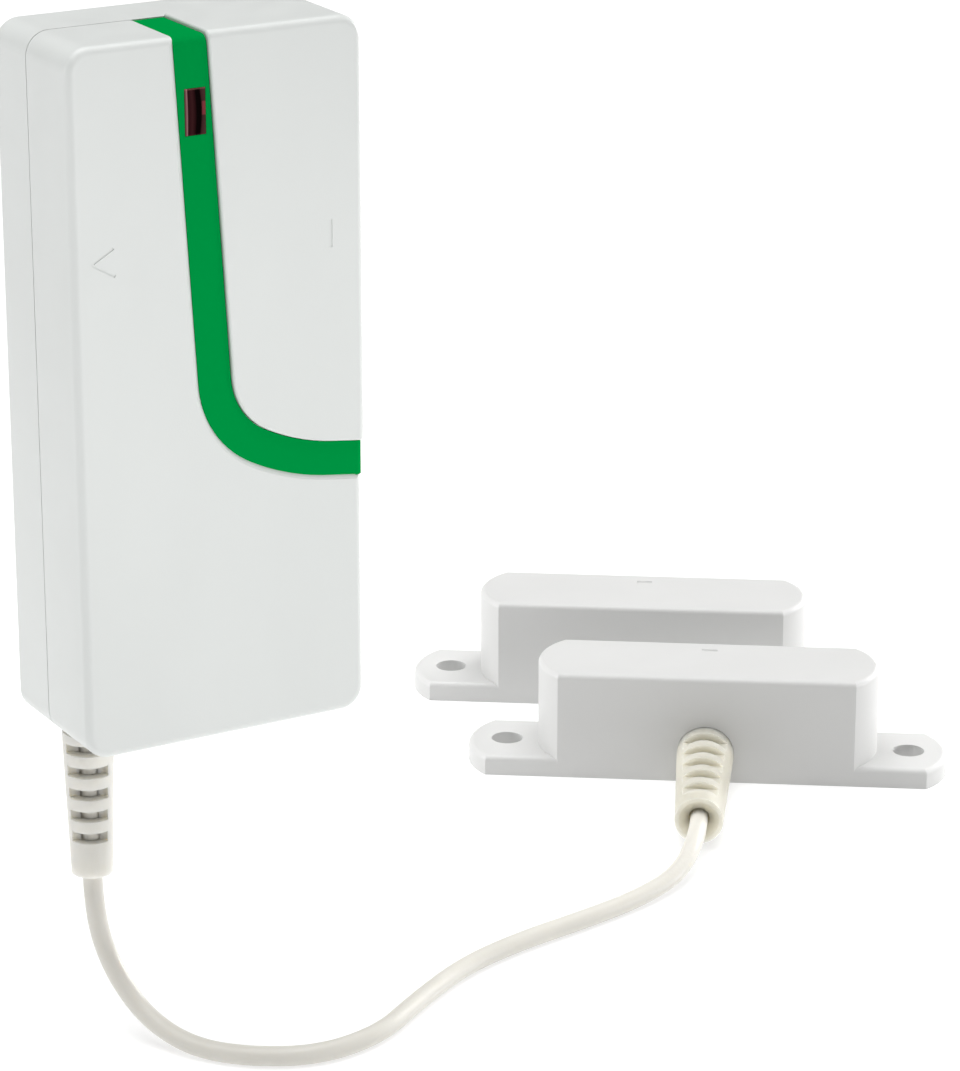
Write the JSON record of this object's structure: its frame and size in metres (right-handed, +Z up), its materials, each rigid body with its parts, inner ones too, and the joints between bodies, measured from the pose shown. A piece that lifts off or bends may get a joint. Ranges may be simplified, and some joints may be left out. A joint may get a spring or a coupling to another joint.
{
  "type": "garage door sensor",
  "caption": "Battery radio transmitter in an upright wall case, wired by a short cord to a surface-mount reed contact, with its separate magnet contact for the moving door.",
  "frame": {"origin": "middle of the transmitter's flat back face, where it meets the wall", "axes": "+Y into the wall, -Y out of the transmitter's front, +Z up along the transmitter, +X to the right seen from the front"},
  "size_m": [0.1576, 0.1149, 0.1284],
  "materials": {
    "case_white": "fine satin moulding",
    "contact_white": "smooth satin moulding",
    "stripe_green": "satin gloss inlay",
    "window_smoke": "polished smoked lens",
    "relief_ivory": "soft matt moulding",
    "cord_ivory": "smooth jacket",
    "board_green": "solder mask",
    "black_plastic": "fine matt",
    "terminal_plastic": "matt",
    "switch_red": "polished",
    "plated_steel": "bright plated",
    "tinned_copper": "bare wire",
    "wire_jacket": "smooth",
    "battery_wrap": "shrink sleeve",
    "tray_grey": "matt moulding",
    "clear_glass": "clear",
    "magnet_grey": "ground ferrite"
  },
  "bodies": {
    "fixed": {"case_base": "case_white", "circuit_board": "board_green", "board_screws": "plated_steel", "status_led": "switch_red", "terminal_block": "terminal_plastic", "terminal_screws": "plated_steel", "tamper_switch": "black_plastic", "radio_module": "plated_steel", "control_chip": "black_plastic", "capacitor": "black_plastic", "crystal_can": "plated_steel", "battery_tray": "tray_grey", "battery": "battery_wrap", "negative_contact": "plated_steel", "positive_contact": "plated_steel", "case_relief": "relief_ivory", "case_cord_end": "cord_ivory", "case_wires": "wire_jacket", "aerial_wire": "tinned_copper", "reed_housing": "contact_white", "reed_lid": "contact_white", "reed_glass": "clear_glass", "reed_blades": "plated_steel", "reed_cradle": "tray_grey", "reed_relief": "relief_ivory", "reed_cord_end": "cord_ivory", "reed_wires": "wire_jacket", "signal_cord": "cord_ivory"},
    "cover": {"front_cover": "case_white", "front_stripe": "stripe_green", "status_window": "window_smoke"},
    "plunger": {"tamper_plunger": "switch_red"},
    "magnet_contact": {"magnet_housing": "contact_white", "magnet_lid": "contact_white", "bar_magnet": "magnet_grey", "magnet_cradle": "tray_grey"}
  },
  "joints": [
    {"name": "cover_lift", "type": "slide", "parent": "fixed", "child": "cover", "axis": [0, -1, 0], "range_m": [0, 0.02]},
    {"name": "plunger_travel", "type": "slide", "parent": "fixed", "child": "plunger", "axis": [0, -1, 0], "range_m": [0, 0.0015]},
    {"name": "magnet_travel", "type": "slide", "parent": "fixed", "child": "magnet_contact", "axis": [0.5736, 0.8192, 0], "range_m": [-0.01, 0.05]}
  ],
  "couplings": [
    {"joint": "plunger_travel", "follows": "cover_lift", "ratio": 0.075}
  ]
}
